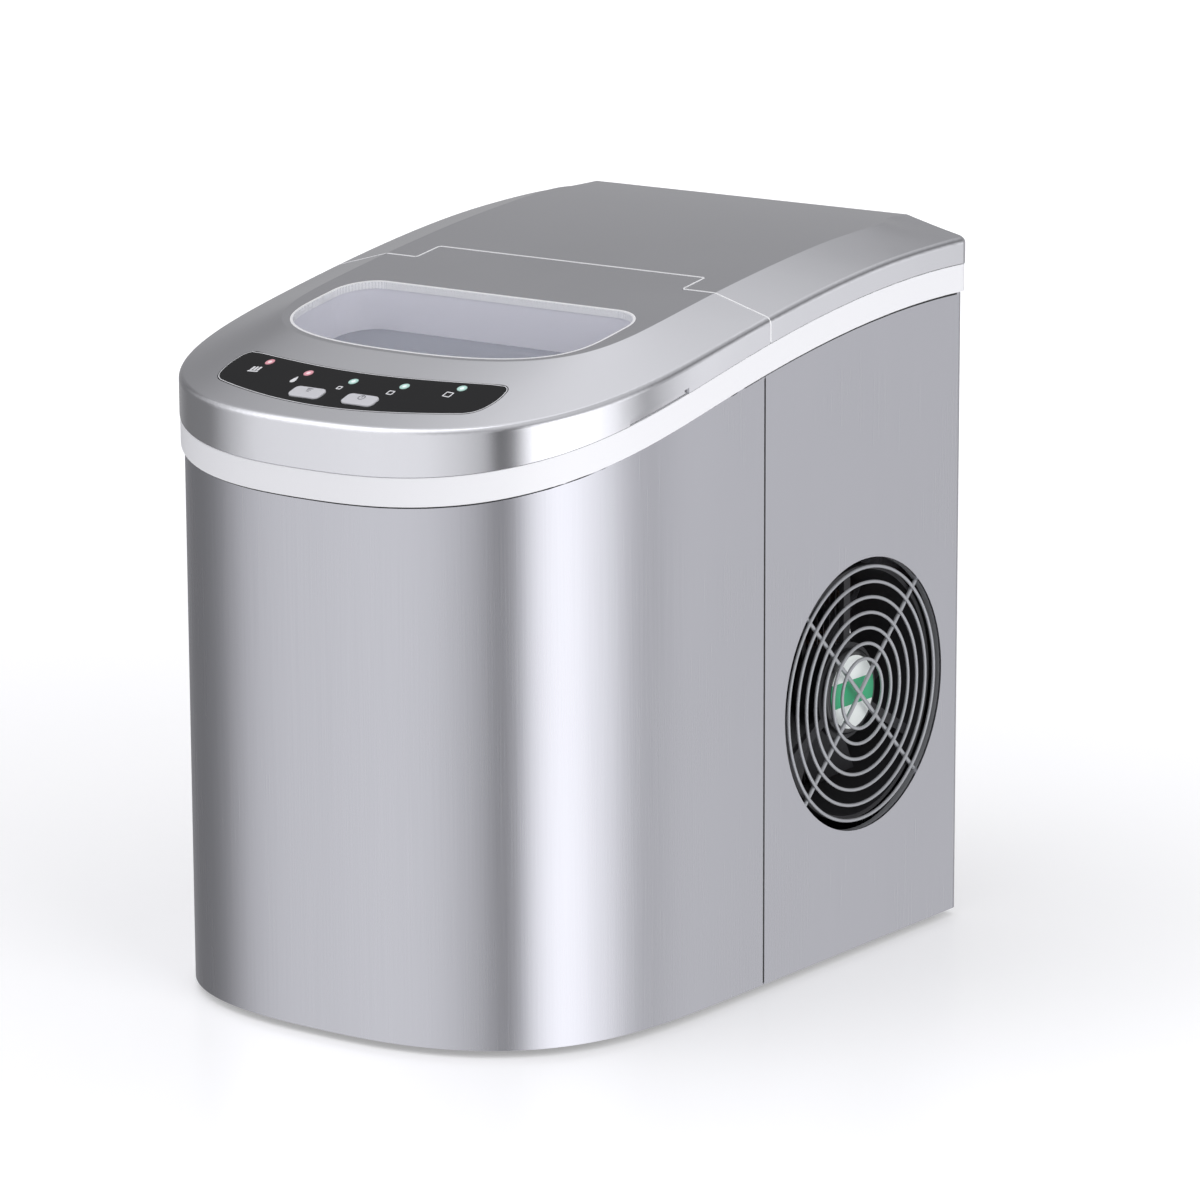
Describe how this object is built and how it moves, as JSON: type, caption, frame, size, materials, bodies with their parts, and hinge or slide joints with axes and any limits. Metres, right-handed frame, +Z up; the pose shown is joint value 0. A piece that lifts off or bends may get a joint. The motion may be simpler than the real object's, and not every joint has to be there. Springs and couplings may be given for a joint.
{
  "type": "ice maker",
  "caption": "Countertop ice maker with bowed steel housing, hinged windowed lid with control panel, side fan grille, ice basket and refrigeration unit.",
  "frame": {"origin": "middle of the footprint, on the surface the feet stand on", "axes": "+X to the right, -Y to the front, +Z up"},
  "size_m": [0.246, 0.332, 0.33],
  "materials": {
    "steel_shell": "vertical brushed stainless sheet",
    "trim_white": "gloss white ABS",
    "lid_silver": "silver painted ABS",
    "clear_pane": "clear",
    "inner_pane": "translucent grey-blue",
    "seal_white": "white",
    "liner_white": "white ABS",
    "panel_black": "gloss black",
    "red_lens": "lit lens",
    "green_lens": "lit lens",
    "button_silver": "silver painted",
    "circuit_board": "green laminate",
    "bright_steel": "zinc plated",
    "galvanised": "galvanised sheet",
    "grille_wire": "light grey coated wire",
    "dark_plastic": "black moulded",
    "grey_plastic": "grey moulded",
    "rubber": "matt black",
    "hose_silicone": "milky silicone",
    "foam": "white expanded foam",
    "copper": "copper tube",
    "fins": "thin fins",
    "black_steel": "black enamel",
    "nickel": "nickel plated",
    "label": "plain paper disc"
  },
  "bodies": {
    "housing": {"rear_cover": "lid_silver", "hinge_brackets": "bright_steel", "hinge_pins": "bright_steel", "upper_frame": "trim_white", "front_shell": "steel_shell", "rear_shell": "steel_shell", "housing_screws": "bright_steel", "cord_gland": "dark_plastic", "base_tray": "dark_plastic", "rubber_feet": "rubber", "water_tub": "liner_white", "tub_insulation": "foam", "ice_basket": "liner_white", "drain_pipe": "grey_plastic", "divider_panel": "galvanised", "pump_motor": "dark_plastic", "pump_housing": "grey_plastic", "water_hose": "hose_silicone", "unit_plate": "bright_steel", "evaporator": "nickel", "unit_brackets": "bright_steel", "tray_motor": "dark_plastic", "ice_sensors": "dark_plastic", "level_probes": "bright_steel", "fan_grille": "grille_wire", "fan_motor_body": "black_steel", "fan_label": "label", "fan_shroud": "dark_plastic", "condenser_tube": "copper", "condenser_fins": "fins", "filter_drier": "copper", "capillary_tube": "copper", "compressor": "black_steel", "compressor_plate": "galvanised", "compressor_grommets": "rubber", "compressor_bolts": "bright_steel", "terminal_cover": "dark_plastic", "suction_line": "copper", "discharge_line": "copper", "hot_gas_valve": "black_steel", "hot_gas_tubes": "copper", "power_board": "circuit_board", "board_standoffs": "bright_steel"},
    "lid": {"lid_frame": "lid_silver", "lid_window": "clear_pane", "window_seal": "seal_white", "lid_liner": "liner_white", "inner_window": "inner_pane", "lid_screws": "bright_steel", "control_overlay": "panel_black", "red_indicators": "red_lens", "green_indicators": "green_lens", "control_board": "circuit_board"},
    "select_button": {"select_button": "button_silver"},
    "power_button": {"power_button": "button_silver"},
    "water_tray": {"water_tray": "liner_white"},
    "ice_shovel": {"ice_shovel": "liner_white"},
    "fan": {"fan_rotor": "dark_plastic"},
    "pump_impeller": {"pump_impeller": "grey_plastic"},
    "drain_cap": {"drain_cap": "grey_plastic"}
  },
  "joints": [
    {"name": "lid_hinge", "type": "hinge", "parent": "housing", "child": "lid", "pos_m": [0, 0.01841, 0.31212], "axis": [-1, 0, 0], "range_deg": [0, 95]},
    {"name": "select_button_press", "type": "slide", "parent": "lid", "child": "select_button", "axis": [0, 0.3128, -0.9498], "range_m": [0, 0.0012], "stiffness_N_per_m": 400},
    {"name": "power_button_press", "type": "slide", "parent": "lid", "child": "power_button", "axis": [0, 0.3128, -0.9498], "range_m": [0, 0.0012], "stiffness_N_per_m": 400},
    {"name": "tray_tilt", "type": "hinge", "parent": "housing", "child": "water_tray", "pos_m": [0, -0.018, 0.23438], "axis": [1, 0, 0], "range_deg": [0, 55]},
    {"name": "shovel_swing", "type": "hinge", "parent": "housing", "child": "ice_shovel", "pos_m": [0, -0.066, 0.24438], "axis": [-1, 0, 0], "range_deg": [0, 38.5]},
    {"name": "fan_spin", "type": "hinge", "parent": "housing", "child": "fan", "pos_m": [0.114, 0.085, 0.122], "axis": [1, 0, 0], "continuous": true},
    {"name": "pump_impeller_spin", "type": "hinge", "parent": "housing", "child": "pump_impeller", "pos_m": [0.04, -0.012, 0.02], "axis": [0, 0, 1], "continuous": true},
    {"name": "drain_cap_turn", "type": "hinge", "parent": "housing", "child": "drain_cap", "pos_m": [-0.059, -0.09, 0.008], "axis": [0, 0, 1], "continuous": true}
  ],
  "couplings": [
    {"joint": "shovel_swing", "follows": "tray_tilt", "ratio": 0.7}
  ]
}
